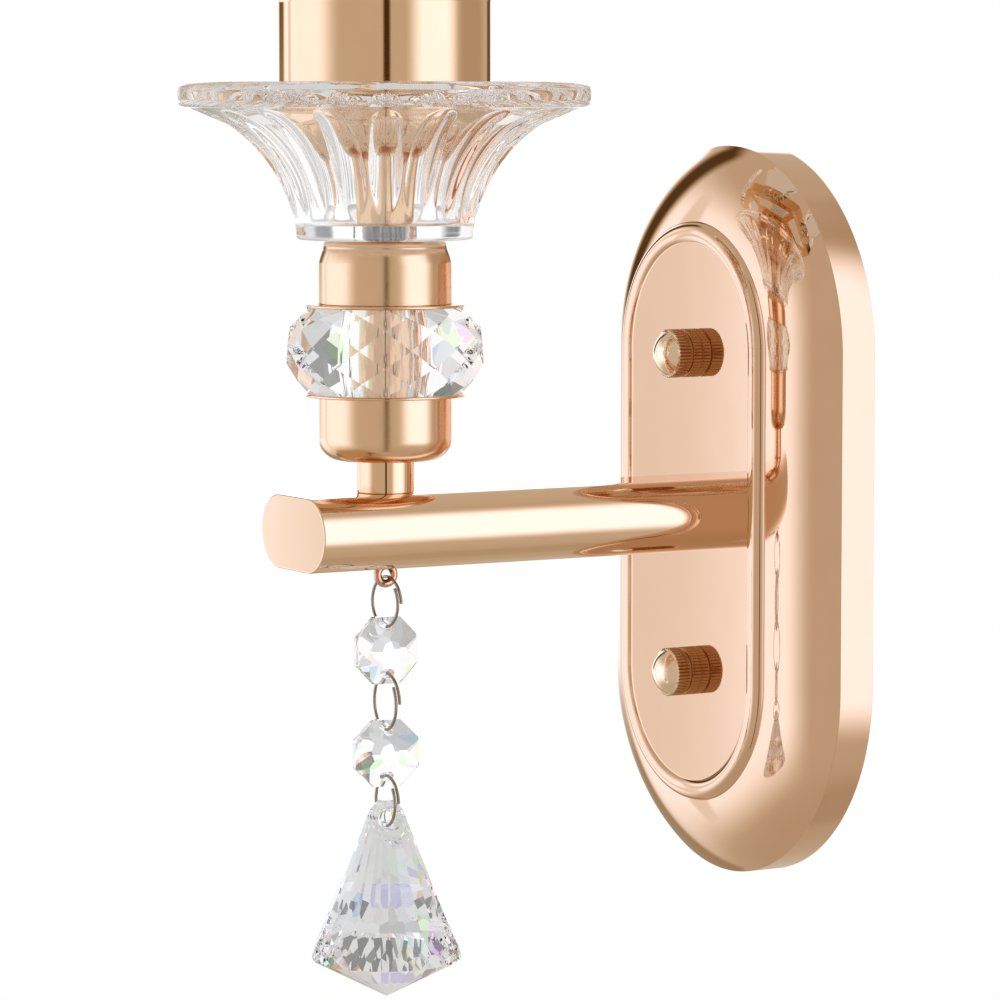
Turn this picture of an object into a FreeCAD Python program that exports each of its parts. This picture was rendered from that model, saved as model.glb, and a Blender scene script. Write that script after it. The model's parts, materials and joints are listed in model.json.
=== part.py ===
import FreeCAD, Part
import math
import os

import Sketcher
from FreeCAD import Placement, Rotation, Vector

# Crystal wall sconce.
# World frame: the wall is the plane Y = 0, the room is on the -Y side, +X right, +Z up.
# The origin is the centre of the mounting bracket's back, on the wall.

SIZES = {
    # wall plate: a pressed shell whose outlines are all straight-sided ovals
    "plate_straight": 37.0,      # half the straight length between the two round ends
    "plate_r": 46.4,             # half the width
    "plate_band": 8.8,           # depth of the straight side band
    "plate_wall": 1.2,
    "shoulder_arc": 29.7,        # radius of the swept shoulder's section
    "bead_out_r": 29.3,          # where the shoulder meets the bead
    "bead_drop": 1.2,            # that place lies this far behind the panel
    "bead_arc": 2.7,             # radius of the bead's section
    "panel_r": 24.5,             # flat panel inside the bead
    "panel_depth": 19.2,
    "nipple_hole_r": 5.1,
    "stud_z": 36.4,              # the two studs, up and down from the middle
    "stud_r": 2.0,
    "stud_hole_r": 2.3,
    "stud_reach": 6.6,           # how far a stud stands out of the panel
    "stud_chamfer": 0.4,
    "stud_nut_flat": 3.5,        # from the middle of a six-sided nut to its flat
    "stud_nut_h": 3.0,
    # cap nuts
    "nut_r": 5.5,
    "nut_barrel": 5.8,
    "nut_dome": 3.0,
    "nut_edge": 0.5,             # slope between the barrel and the dome
    "nut_foot_h": 2.1,           # knurled foot below the groove
    "nut_groove_h": 0.7,
    "nut_groove_d": 0.45,
    "nut_bore_gap": 0.05,        # running clearance of a nut on its stud
    "nut_bore_over": 0.5,        # the bore goes on this far past the stud's end
    # bracket behind the plate
    "bracket_half_w": 9.0,
    "bracket_half_h": 44.0,
    "bracket_t": 1.5,
    "slot_z": 24.0,
    "slot_half_w": 2.25,
    "slot_len": 10.0,
    "cable_hole_r": 5.5,
    # arm
    "arm_half_w": 14.9,
    "arm_half_h": 8.1,
    "arm_wall": 1.3,
    "arm_past_head": 21.4,       # how far the tube goes on past the head's axis
    "cap_t": 1.5,
    "cap_edge": 0.35,            # round of the cap's outer edge
    "cap_plug": 4.0,
    "plug_len": 10.0,
    "nipple_r": 4.9,
    "nipple_bore_r": 3.6,
    "nipple_end": 8.5,
    "arm_washer_r": 9.0,
    "arm_washer_t": 1.0,
    "arm_nut_flat": 7.0,
    "arm_nut_h": 4.0,
    # terminal block on the bracket, its distances down from the middle
    "block_half_w": 9.0,
    "block_near": 7.5,
    "block_far": 17.5,
    "block_h": 9.0,
    "block_ridge_h": 1.6,
    "block_ridge_w": 7.8,
    "block_ridge_gap": 0.4,      # from the middle to a ridge
    "block_ridge_in": 2.0,
    # head stack, heights above the arm's centre line
    "head_y": 98.0,              # distance of the head's axis from the wall
    "rod_r": 4.9,
    "rod_bore_r": 3.4,
    "rod_hole_r": 5.1,
    "rod_under": 3.6,            # how far the rod ends below the centre line
    "rod_in_holder": 8.3,        # and above the lamp cup's floor
    "rod_nut_flat": 6.5,
    "rod_nut_h": 4.0,
    "stem_r": 6.35,
    "stem_top": 15.2,
    "cup_r": 14.8,
    "cup_floor_r": 9.6,
    "cup_round": 5.2,
    "cup_wall": 1.0,
    "lower_cup_top": 29.2,
    "washer_r": 17.6,
    "washer_t": 0.7,
    "washer_edge": 0.25,
    "sleeve_r": 6.0,
    "bead_bore_r": 6.4,
    "bead_h": 18.8,              # crystal bead between the washers
    "bead_r": 22.0,
    "bead_upper_r": 20.9,
    "bead_sides": 12,
    "upper_cup_top": 63.4,
    "upper_cup_knee": 5.0,       # the wall bends in this far below its top
    "upper_cup_arc": 16.0,
    "upper_cup_crown_r": 13.8,
    "upper_cup_round": 1.8,
    "upper_cup_flat_r": 12.2,
    # fluted dish
    "dish_cx": 52.1,             # centre of the bell's outer curve
    "dish_cz": 60.8,
    "dish_arc": 32.7,
    "dish_wall": 4.0,
    "dish_base_r": 19.7,
    "dish_base_round": 1.5,
    "dish_foot_h": 2.2,
    "dish_floor": 67.0,
    "dish_rim_r": 45.6,
    "dish_rim_low": 92.2,
    "dish_rim_top": 97.6,
    "dish_rim_round": 1.8,
    "dish_rim_neck": 3.7,        # the bell's curve ends this far below the rim
    "dish_rim_land": 3.4,        # flat of the rim's top, with the outer round
    "dish_mouth_round": 1.8,
    "dish_mouth_drop": 1.6,
    "flutes": 20,
    "flute_cx": 43.35,           # centre of the circle each flute's bottom follows
    "flute_cz": 68.7,
    "flute_arc": 23.1,
    "flute_half_w": 3.7,
    "flute_half_d": 3.0,
    # lamp cup and lampholder
    "lamp_cup_floor": 81.7,
    "lamp_cup_r": 23.5,
    "lamp_cup_floor_r": 8.5,
    "lamp_cup_round": 15.0,
    "lamp_cup_lip_r": 24.4,
    "lamp_cup_top": 117.8,
    "lamp_cup_flare": 3.0,       # height of the lip's outward lean
    "holder_r": 14.0,
    "holder_foot_h": 4.0,
    "holder_skirt_h": 9.0,
    "holder_top": 150.0,
    "holder_bore_r": 8.0,
    "holder_bore_low": 120.0,
    "shell_r": 6.95,
    "shell_low": 123.5,
    "shell_top": 149.0,
    "contact_r": 4.0,
    "contact_tip_r": 2.2,
    "contact_t": 0.6,
    "contact_h": 3.0,
    "candle_r": 15.4,
    "candle_top": 152.0,
    # shade: six-sided frame and six glass petals
    "frame_apothem": 44.0,
    "frame_h": 9.0,
    "frame_t": 1.8,
    "frame_plate_t": 1.6,
    "frame_plate_in": 0.5,       # the plate's edge lies this far inside the frame's foot
    "frame_rib": 3.0,            # half width of a spoke
    "frame_edge": 3.0,
    "frame_ring_r": 27.6,
    "frame_bore_r": 16.4,
    "petals": 6,
    "petal_tilt": 15.0,
    "petal_t": 4.5,
    "petal_foot": 7.5,           # half widths of a petal and the heights where it has them
    "petal_neck_half_w": 9.5,
    "petal_neck_h": 8.0,
    "petal_half_w": 21.0,
    "petal_wide_h": 28.0,
    "petal_crown_half_w": 16.8,
    "petal_crown_h": 48.0,
    "petal_h": 58.0,
    "petal_bevel": 0.8,
    "screw_r": 1.5,
    "screw_gap": 0.2,
    "screw_head_r": 3.0,
    "screw_head_h": 1.6,
    "screw_head_edge": 0.5,
    "screw_nut_r": 2.8,
    "screw_nut_h": 1.8,
    "screw_tail": 0.6,
    "screw_up": 4.5,             # screw's height above the frame's lower edge
    # pendants
    "eye_z": -10.1,
    "eye_r": 2.0,
    "eye_bar_r": 0.9,
    "eye_shank_r": 1.2,
    "eye_shank_up": 1.0,         # the shank's end above the arm's lower wall
    "eye_overlap": 0.45,         # the shank starts this far inside the loop's bar
    "link_drop": 0.5,            # the first wire rests this far below the eye's centre
    "wire_r": 0.35,
    "wire_pitch": 0.9,
    "wire_turns": 1.1,
    "ring_r": 5.5,
    "long_ring_r": 6.2,
    "hole_r": 1.1,
    "hang": 0.2,                 # a wire rests this far off the centre of a crystal's hole
    "oct_half": 7.4,
    "oct_hole": 5.0,
    "oct_half_t": 2.9,
    "oct_edge_t": 0.9,
    "oct_table": 2.2,
    "oct_kite": 0.62,            # share of the way in where the edge facets give way
    "oct_star_r": 6.9,
    "oct_star_t": 1.2,
    "prism_top": 6.0,            # heights from the prism's hole
    "prism_top_r": 1.6,
    "prism_crown": 3.9,
    "prism_crown_r": 3.7,
    "prism_shoulder": -24.4,
    "prism_shoulder_r": 15.1,
    "prism_girdle": -29.4,
    "prism_girdle_r": 16.4,
    "prism_tip": -38.0,
    "prism_tab_half": 1.6,       # half the glass left between the two hollows
    "prism_hollow_r": 5.5,
    "prism_hollow": 1.5,
    "prism_sides": 24,
}

# turns in degrees about the vertical
BEAD_TURN = 61.5
DISH_TURN = 7.9
RING_TURNS = (4.0, -4.0, -4.0)
OCTAGON_TURNS = (0.0, -9.0)
PRISM_TURN = -4.0

# heights of the bead's rows of corners, as shares of its height, from the top down
BEAD_ROWS = (1.0, 0.915, 0.766, 0.543, 0.340, 0.160, 0.0)

doc = FreeCAD.newDocument("sconce")
sheet = doc.addObject("Spreadsheet::Sheet", "sheet")
for row, (name, number) in enumerate(SIZES.items(), start=1):
    sheet.set(f"A{row}", name)
    sheet.set(f"B{row}", str(number))
    sheet.setAlias(f"B{row}", name)
doc.recompute()


class Size:
    """A number from the sheet together with the formula that keeps it tied to the sheet."""

    def __init__(self, number, formula):
        self.number = float(number)
        self.formula = formula

    def __float__(self):
        return self.number

    def __add__(self, other):
        other = sized(other)
        return Size(self.number + other.number, f"({self.formula} + {other.formula})")

    def __sub__(self, other):
        other = sized(other)
        return Size(self.number - other.number, f"({self.formula} - {other.formula})")

    def __mul__(self, factor):
        factor = sized(factor)
        return Size(self.number * factor.number, f"({self.formula} * {factor.formula})")

    def __truediv__(self, other):
        other = sized(other)
        return Size(self.number / other.number, f"({self.formula} / {other.formula})")

    def __neg__(self):
        return Size(-self.number, f"(-1 * {self.formula})")


def sized(value):
    if isinstance(value, Size):
        return value
    return Size(value, f"({float(value):.9f})")


class Sheet:
    """Sizes by name: d.plate_r is the sheet's plate_r."""

    def __getattr__(self, name):
        return Size(sheet.get(name), f"sheet.{name}")


d = Sheet()
parts = []

# a body's own Z points away from the wall, and its Y up
AWAY_FROM_WALL = Rotation(Vector(1, 0, 0), 90)
ON_HEAD = (0, -d.head_y, 0)


# ---------------------------------------------------------------- sketch helpers

def new_body(label, at=(0, 0, 0), turn=Rotation()):
    body = doc.addObject("PartDesign::Body", label)
    body.Label = label
    put(body, "Placement", at, turn)
    parts.append(body)
    return body


def put(feature, name, at, turn=Rotation()):
    """Set a placement whose place is tied to the sheet wherever it comes from the sheet."""
    setattr(feature, name, Placement(Vector(*(float(v) for v in at)), turn))
    for axis, value in zip("xyz", at):
        if isinstance(value, Size):
            feature.setExpression(f"{name}.Base.{axis}", value.formula)


def origin_part(body, role):
    return next(f for f in body.Origin.OriginFeatures if f.Role == role)


def new_sketch(body, role, at=(0, 0, 0), turn=Rotation()):
    sketch = body.newObject("Sketcher::SketchObject", f"{body.Name}_outline")
    sketch.AttachmentSupport = [(origin_part(body, role), "")]
    sketch.MapMode = "FlatFace"
    put(sketch, "AttachmentOffset", at, turn)
    return sketch


def lifted(height):
    return (0, 0, height)


def tie(sketch, constraint, size):
    index = sketch.addConstraint(constraint)
    sketch.setExpression(f"Constraints[{index}]", sized(size).formula)


def tie_along(sketch, kind, edge, end, size):
    """Hold one end of an edge at a sheet coordinate, kind is DistanceX or DistanceY."""
    if abs(float(size)) < 1e-9:
        axis = -2 if kind == "DistanceX" else -1
        sketch.addConstraint(Sketcher.Constraint("PointOnObject", edge, end, axis))
    else:
        tie(sketch, Sketcher.Constraint(kind, -1, 1, edge, end, float(size)), size)


def tie_point(sketch, edge, end, x, y):
    tie_along(sketch, "DistanceX", edge, end, x)
    tie_along(sketch, "DistanceY", edge, end, y)


def outline(sketch, corners):
    """Closed loop of corners (x, y) or (x, y, radius of the arc that leaves this corner).

    A positive radius bends to the left of the way round, a negative one to the right.
    """
    ends = []
    for here, there in zip(corners, corners[1:] + corners[:1]):
        start = Vector(float(here[0]), float(here[1]), 0)
        end = Vector(float(there[0]), float(there[1]), 0)
        if len(here) == 2:
            edge = sketch.addGeometry(Part.LineSegment(start, end), False)
            ends.append((edge, 1, 2))
            continue
        radius = float(here[2])
        along = end - start
        left = Vector(-along.y, along.x, 0).normalize()
        rise = math.sqrt(max(radius ** 2 - (along.Length / 2) ** 2, 0))
        rise = rise if rise > 1e-6 else 0.0
        centre = (start + end) * 0.5 + left * math.copysign(rise, radius)
        first, last = (start, end) if radius > 0 else (end, start)
        angles = [math.atan2(p.y - centre.y, p.x - centre.x) for p in (first, last)]
        circle = Part.Circle(centre, Vector(0, 0, 1), abs(radius))
        edge = sketch.addGeometry(Part.ArcOfCircle(circle, *angles), False)
        if rise < 1e-6:
            # a half circle is held by its centre
            if abs(along.x) > abs(along.y):
                tie_along(sketch, "DistanceY", edge, 3, here[1])
            else:
                tie_along(sketch, "DistanceX", edge, 3, here[0])
        else:
            tie(sketch, Sketcher.Constraint("Radius", edge, abs(radius)),
                here[2] if radius > 0 else -sized(here[2]))
        ends.append((edge, 1, 2) if radius > 0 else (edge, 2, 1))
    for (edge, first, last), (after, after_first, after_last), corner in zip(
            ends, ends[1:] + ends[:1], corners[1:] + corners[:1]):
        sketch.addConstraint(Sketcher.Constraint("Coincident", edge, last, after, after_first))
        tie_point(sketch, after, after_first, corner[0], corner[1])


def circle_in(sketch, x, y, radius):
    circle = Part.Circle(Vector(float(x), float(y), 0), Vector(0, 0, 1), float(radius))
    edge = sketch.addGeometry(circle, False)
    tie(sketch, Sketcher.Constraint("Radius", edge, float(radius)), radius)
    if abs(float(x)) < 1e-9 and abs(float(y)) < 1e-9:
        sketch.addConstraint(Sketcher.Constraint("Coincident", edge, 3, -1, 1))
    else:
        tie_point(sketch, edge, 3, x, y)


def turned(body, corners):
    """Revolve an outline of (radius, height) corners about the body's Z axis."""
    sketch = new_sketch(body, "XZ_Plane")
    outline(sketch, corners)
    feature = body.newObject("PartDesign::Revolution", f"{body.Name}_turned")
    feature.Profile = sketch
    feature.ReferenceAxis = (sketch, ["V_Axis"])
    feature.Angle = 360
    body.Tip = feature
    return feature


def dome_arc(radius, height):
    """Radius of the ball whose cap has this rim radius and height."""
    return (sized(radius) * radius + sized(height) * height) / (sized(height) * 2)


def padded(body, sketch, length, middle=False, back=False):
    feature = body.newObject("PartDesign::Pad", f"{body.Name}_pad")
    feature.Profile = sketch
    feature.setExpression("Length", sized(length).formula)
    feature.Midplane = middle
    feature.Reversed = back
    body.Tip = feature
    return feature


def drilled(body, sketch):
    """Cut a sketch right through, both ways."""
    feature = body.newObject("PartDesign::Pocket", f"{body.Name}_cut")
    feature.Profile = sketch
    feature.Type = 1
    feature.Midplane = True
    body.Tip = feature
    return feature


def mirrored(body, feature, role):
    mirror = body.newObject("PartDesign::Mirrored", f"{body.Name}_mirror")
    mirror.Originals = [feature]
    mirror.MirrorPlane = (origin_part(body, role), [""])
    body.Tip = mirror
    return mirror


def patterned(body, feature, count):
    pattern = body.newObject("PartDesign::PolarPattern", f"{body.Name}_pattern")
    pattern.Originals = [feature]
    pattern.Axis = (origin_part(body, "Z_Axis"), [""])
    pattern.Angle = 360
    pattern.setExpression("Occurrences", sized(count).formula)
    body.Tip = pattern
    return pattern


def edges_at(feature, axis, place):
    """Names of the edges that lie wholly at one height of the body's own x, y or z axis."""
    place = float(place)
    names = []
    for number, edge in enumerate(feature.Shape.Edges, start=1):
        if all(abs(getattr(vertex.Point, axis) - place) < 1e-6 for vertex in edge.Vertexes):
            names.append(f"Edge{number}")
    return names


def oval(half_straight, radius, along_x=False):
    """Corners of a straight-sided oval, long side up or across."""
    if along_x:
        return [(half_straight, -radius, radius), (half_straight, radius),
                (-half_straight, radius, radius), (-half_straight, -radius)]
    return [(radius, -half_straight), (radius, half_straight, radius),
            (-radius, half_straight), (-radius, -half_straight, radius)]


def rectangle(left, right, low, high):
    return [(left, low), (right, low), (right, high), (left, high)]


def regular(sides, apothem):
    """Corners of a regular polygon with flats at the given distance."""
    step = 2 * math.pi / sides
    reach = 1 / math.cos(step / 2)
    return [(sized(apothem) * (reach * math.cos(k * step)),
             sized(apothem) * (reach * math.sin(k * step))) for k in range(sides)]


# ---------------------------------------------------------------- wall plate

def plate_section():
    """Half section of the plate as (distance from its middle, depth from the wall)."""
    wall = d.plate_wall
    inner_r = d.plate_r - wall
    back_face = d.panel_depth - wall
    return [
        (inner_r, 0),
        (d.plate_r, 0),
        (d.plate_r, d.plate_band, d.shoulder_arc),
        (d.bead_out_r, d.panel_depth - d.bead_drop, d.bead_arc),
        (d.panel_r, d.panel_depth),
        (0, d.panel_depth),
        (0, back_face),
        (d.panel_r, back_face),
        (d.bead_out_r - wall * 0.2, back_face - d.bead_drop, wall - d.shoulder_arc),
        (inner_r, d.plate_band - wall * 0.5),
    ]


def make_plate():
    """A straight middle and two turned ends, all from one half section."""
    body = new_body("wall_plate", turn=AWAY_FROM_WALL)
    section = new_sketch(body, "XZ_Plane")
    outline(section, plate_section())
    middle = padded(body, section, d.plate_straight * 2, middle=True)
    mirrored(body, middle, "YZ_Plane")
    end_section = new_sketch(body, "XZ_Plane", lifted(-d.plate_straight))
    outline(end_section, plate_section())
    end = body.newObject("PartDesign::Revolution", "wall_plate_end")
    end.Profile = end_section
    end.ReferenceAxis = (end_section, ["V_Axis"])
    end.Angle = 180
    body.Tip = end
    mirrored(body, end, "XZ_Plane")
    holes = new_sketch(body, "XY_Plane")
    circle_in(holes, 0, 0, d.nipple_hole_r)
    circle_in(holes, 0, d.stud_z, d.stud_hole_r)
    circle_in(holes, 0, -d.stud_z, d.stud_hole_r)
    drilled(body, holes)


def make_bracket():
    body = new_body("mounting_bracket", turn=AWAY_FROM_WALL)
    sketch = new_sketch(body, "XY_Plane")
    outline(sketch, oval(d.bracket_half_h - d.bracket_half_w, d.bracket_half_w))
    circle_in(sketch, 0, 0, d.cable_hole_r)
    half = d.slot_len * 0.5 - d.slot_half_w
    for side in (1, -1):
        circle_in(sketch, 0, d.stud_z * side, d.stud_r)
        middle = d.slot_z * side
        outline(sketch, [
            (d.slot_half_w, middle - half), (d.slot_half_w, middle + half, d.slot_half_w),
            (-d.slot_half_w, middle + half), (-d.slot_half_w, middle - half, d.slot_half_w)])
    padded(body, sketch, d.bracket_t)


def make_studs():
    for name, side in (("upper", 1), ("lower", -1)):
        at = (0, 0, d.stud_z * side)
        stud = new_body(f"stud_{name}", at, AWAY_FROM_WALL)
        end = d.panel_depth + d.stud_reach
        bevel = d.stud_chamfer
        turned(stud, [(0, 0), (d.stud_r, 0), (d.stud_r, end - bevel), (d.stud_r - bevel, end),
                      (0, end)])
        make_hex_nut(f"stud_nut_{name}", at, AWAY_FROM_WALL, d.stud_nut_flat, d.stud_r,
                     d.bracket_t, d.stud_nut_h)
        make_cap_nut(f"cap_nut_{name}", at)


def make_hex_nut(label, at, turn, half_flats, bore, low, height):
    nut = new_body(label, at, turn)
    sketch = new_sketch(nut, "XY_Plane", lifted(low))
    outline(sketch, regular(6, half_flats))
    circle_in(sketch, 0, 0, bore)
    padded(nut, sketch, height)


def make_cap_nut(label, at):
    """Round nut with a grooved foot and a domed, closed end."""
    nut = new_body(label, at, AWAY_FROM_WALL)
    base = d.panel_depth
    bore = d.stud_r + d.nut_bore_gap
    bore_end = base + d.stud_reach + d.nut_bore_over
    groove_r = d.nut_r - d.nut_groove_d
    groove_low = base + d.nut_foot_h
    groove_top = groove_low + d.nut_groove_h
    slope = d.nut_groove_d * 0.5
    dome_r = d.nut_r - d.nut_edge
    dome_low = base + d.nut_barrel + d.nut_edge * 0.5
    top = base + d.nut_barrel + d.nut_dome
    turned(nut, [
        (bore, base), (d.nut_r, base), (d.nut_r, groove_low), (groove_r, groove_low + slope),
        (groove_r, groove_top - slope), (d.nut_r, groove_top), (d.nut_r, base + d.nut_barrel),
        (dome_r, dome_low, dome_arc(dome_r, top - dome_low)), (0, top), (0, bore_end),
        (bore, bore_end)])


# ---------------------------------------------------------------- arm

def make_arm():
    straight = d.arm_half_w - d.arm_half_h
    inner = d.arm_half_h - d.arm_wall
    open_end = d.head_y + d.arm_past_head
    tube = new_body("arm_tube", turn=AWAY_FROM_WALL)
    sketch = new_sketch(tube, "XY_Plane", lifted(d.panel_depth))
    outline(sketch, oval(straight, d.arm_half_h, along_x=True))
    outline(sketch, oval(straight, inner, along_x=True))
    padded(tube, sketch, open_end - d.panel_depth)
    # the rod comes in through the top wall, the eye's shank through the bottom one
    for radius, downward in ((d.rod_hole_r, False), (d.eye_shank_r, True)):
        hole = new_sketch(tube, "XZ_Plane")
        circle_in(hole, 0, d.head_y, radius)
        cut = tube.newObject("PartDesign::Pocket", "arm_tube_hole")
        cut.Profile = hole
        cut.Type = 1
        cut.Reversed = downward
        tube.Tip = cut

    cap = new_body("arm_end_cap", turn=AWAY_FROM_WALL)
    face = new_sketch(cap, "XY_Plane", lifted(open_end))
    outline(face, oval(straight, d.arm_half_h, along_x=True))
    disc = padded(cap, face, d.cap_t)
    doc.recompute()
    edge = cap.newObject("PartDesign::Fillet", "arm_end_cap_edge")
    edge.Base = (disc, edges_at(disc, "z", d.cap_t + open_end))
    edge.setExpression("Radius", "sheet.cap_edge")
    back = new_sketch(cap, "XY_Plane", lifted(open_end))
    outline(back, oval(straight, inner, along_x=True))
    padded(cap, back, d.cap_plug, back=True)

    plug = new_body("arm_root_plug", turn=AWAY_FROM_WALL)
    section = new_sketch(plug, "XY_Plane", lifted(d.panel_depth))
    outline(section, oval(straight, inner, along_x=True))
    circle_in(section, 0, 0, d.nipple_r)
    padded(plug, section, d.plug_len)


def make_arm_fixing():
    """Threaded nipple from the arm's plug through the plate, with its washer and nut."""
    back_face = d.panel_depth - d.plate_wall
    nipple = new_body("arm_nipple", turn=AWAY_FROM_WALL)
    low, high = d.nipple_end, d.panel_depth + d.plug_len
    turned(nipple, [(d.nipple_bore_r, low), (d.nipple_r, low), (d.nipple_r, high),
                    (d.nipple_bore_r, high)])
    washer = new_body("arm_washer", turn=AWAY_FROM_WALL)
    washer_low = back_face - d.arm_washer_t
    turned(washer, [(d.nipple_r, washer_low), (d.arm_washer_r, washer_low),
                    (d.arm_washer_r, back_face), (d.nipple_r, back_face)])
    make_hex_nut("arm_nut", (0, 0, 0), AWAY_FROM_WALL, d.arm_nut_flat, d.nipple_r,
                 washer_low - d.arm_nut_h, d.arm_nut_h)


def make_terminal_block():
    """Two-way block on the bracket, below its cable hole."""
    block = new_body("terminal_block", turn=AWAY_FROM_WALL)
    base = new_sketch(block, "XY_Plane", lifted(d.bracket_t))
    outline(base, rectangle(-d.block_half_w, d.block_half_w, -d.block_far, -d.block_near))
    padded(block, base, d.block_h)
    ridges = new_sketch(block, "XY_Plane", lifted(d.bracket_t + d.block_h))
    low, high = d.block_ridge_in - d.block_far, -d.block_near - d.block_ridge_in
    near, far = d.block_ridge_gap, d.block_ridge_gap + d.block_ridge_w
    outline(ridges, rectangle(near, far, low, high))
    outline(ridges, rectangle(-far, -near, low, high))
    padded(block, ridges, d.block_ridge_h)


# ---------------------------------------------------------------- head stack

def make_sleeve(label, inner, outer, low, high):
    """Plain tube on the head's axis."""
    turned(new_body(label, ON_HEAD), [(inner, low), (outer, low), (outer, high), (inner, high)])


def make_stack():
    rod_top = d.lamp_cup_floor + d.rod_in_holder
    make_sleeve("centre_rod", d.rod_bore_r, d.rod_r, -d.rod_under, rod_top)
    top_wall = d.arm_half_h - d.arm_wall
    make_hex_nut("rod_nut", ON_HEAD, Rotation(), d.rod_nut_flat, d.rod_r, top_wall - d.rod_nut_h,
                 d.rod_nut_h)
    make_sleeve("stem", d.rod_r, d.stem_r, d.arm_half_h, d.stem_top)
    make_lower_cup()
    bead_low = d.lower_cup_top + d.washer_t
    bead_high = bead_low + d.bead_h
    make_washer("lower_washer", d.lower_cup_top)
    make_washer("upper_washer", bead_high)
    make_upper_cup(bead_high + d.washer_t)
    make_sleeve("crystal_sleeve", d.rod_r, d.sleeve_r, d.stem_top + d.cup_wall,
                d.upper_cup_top - d.cup_wall)


def make_lower_cup():
    cup = new_body("lower_cup", ON_HEAD)
    inner = d.cup_r - d.cup_wall
    low, high = d.stem_top, d.lower_cup_top
    knee = low + d.cup_round
    turned(cup, [
        (d.rod_r, low), (d.cup_floor_r, low, d.cup_round), (d.cup_r, knee), (d.cup_r, high),
        (inner, high), (inner, knee, d.cup_wall - d.cup_round), (d.cup_floor_r, low + d.cup_wall),
        (d.rod_r, low + d.cup_wall)])


def make_washer(label, low):
    washer = new_body(label, ON_HEAD)
    high = low + d.washer_t
    bevel = d.washer_edge
    turned(washer, [
        (d.sleeve_r, low), (d.washer_r - bevel, low), (d.washer_r, low + bevel),
        (d.washer_r, high - bevel), (d.washer_r - bevel, high), (d.sleeve_r, high)])


def make_upper_cup(low):
    """Cup turned over: straight wall, swept crown and a small flat top."""
    cup = new_body("upper_cup", ON_HEAD)
    inner = d.cup_r - d.cup_wall
    top = d.upper_cup_top
    knee = top - d.upper_cup_knee
    turned(cup, [
        (inner, low), (d.cup_r, low), (d.cup_r, knee, d.upper_cup_arc),
        (d.upper_cup_crown_r, top - d.upper_cup_round, d.upper_cup_round),
        (d.upper_cup_flat_r, top), (d.rod_r, top), (d.rod_r, top - d.cup_wall),
        (d.upper_cup_flat_r, top - d.cup_wall), (inner, knee)])


def dish_radius(arc, height):
    """Radius of the bell's curve at a height, for the outer or the inner arc."""
    rise = float(height) - float(d.dish_cz)
    return float(d.dish_cx) - math.sqrt(float(arc) ** 2 - rise ** 2)


def make_dish():
    """Bell-shaped glass dish: a turned wall, then one flute cut and repeated round it."""
    body = new_body("glass_dish", ON_HEAD, Rotation(Vector(0, 0, 1), DISH_TURN))
    base = d.upper_cup_top
    foot_top = base + d.dish_foot_h
    bell_top = d.dish_rim_low - d.dish_rim_neck
    inner_arc = d.dish_arc + d.dish_wall
    mouth = d.dish_rim_top - d.dish_mouth_drop
    edge = d.dish_rim_round
    turned(body, [
        (d.rod_r, base), (d.dish_base_r - d.dish_base_round, base, d.dish_base_round),
        (d.dish_base_r, base + d.dish_base_round),
        (dish_radius(d.dish_arc, foot_top), foot_top, -d.dish_arc),
        (dish_radius(d.dish_arc, bell_top), bell_top), (d.dish_rim_r - edge, d.dish_rim_low, edge),
        (d.dish_rim_r, d.dish_rim_low + edge), (d.dish_rim_r, d.dish_rim_top - edge, edge),
        (d.dish_rim_r - edge, d.dish_rim_top),
        (d.dish_rim_r - d.dish_rim_land, d.dish_rim_top, d.dish_mouth_round),
        (dish_radius(inner_arc, mouth), mouth, inner_arc),
        (dish_radius(inner_arc, d.dish_floor), d.dish_floor), (d.rod_r, d.dish_floor)])
    # the flute: an ellipse swept round a circle that dips into the bell's outer curve
    sketch = new_sketch(body, "XY_Plane", (d.flute_cx, 0, d.flute_cz))
    centre = float(d.flute_half_d) - float(d.flute_arc)
    ellipse = Part.Ellipse(Vector(centre, float(d.flute_half_w), 0),
                           Vector(centre + float(d.flute_half_d), 0, 0), Vector(centre, 0, 0))
    sketch.addGeometry(ellipse, False)
    groove = body.newObject("PartDesign::Groove", "glass_dish_flute")
    groove.Profile = sketch
    groove.ReferenceAxis = (sketch, ["V_Axis"])
    groove.Angle = 360
    body.Tip = groove
    patterned(body, groove, d.flutes)


def make_lamp_cup():
    cup = new_body("lamp_cup", ON_HEAD)
    wall = d.cup_wall
    floor = d.lamp_cup_floor
    inner = d.lamp_cup_r - wall
    knee = floor + d.lamp_cup_round
    lip = d.lamp_cup_top - d.lamp_cup_flare
    turned(cup, [
        (d.rod_r, floor), (d.lamp_cup_floor_r, floor, d.lamp_cup_round), (d.lamp_cup_r, knee),
        (d.lamp_cup_r, lip), (d.lamp_cup_lip_r, d.lamp_cup_top),
        (d.lamp_cup_lip_r - wall, d.lamp_cup_top), (inner, lip),
        (inner, knee, wall - d.lamp_cup_round), (d.lamp_cup_floor_r, floor + wall),
        (d.rod_r, floor + wall)])


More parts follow.
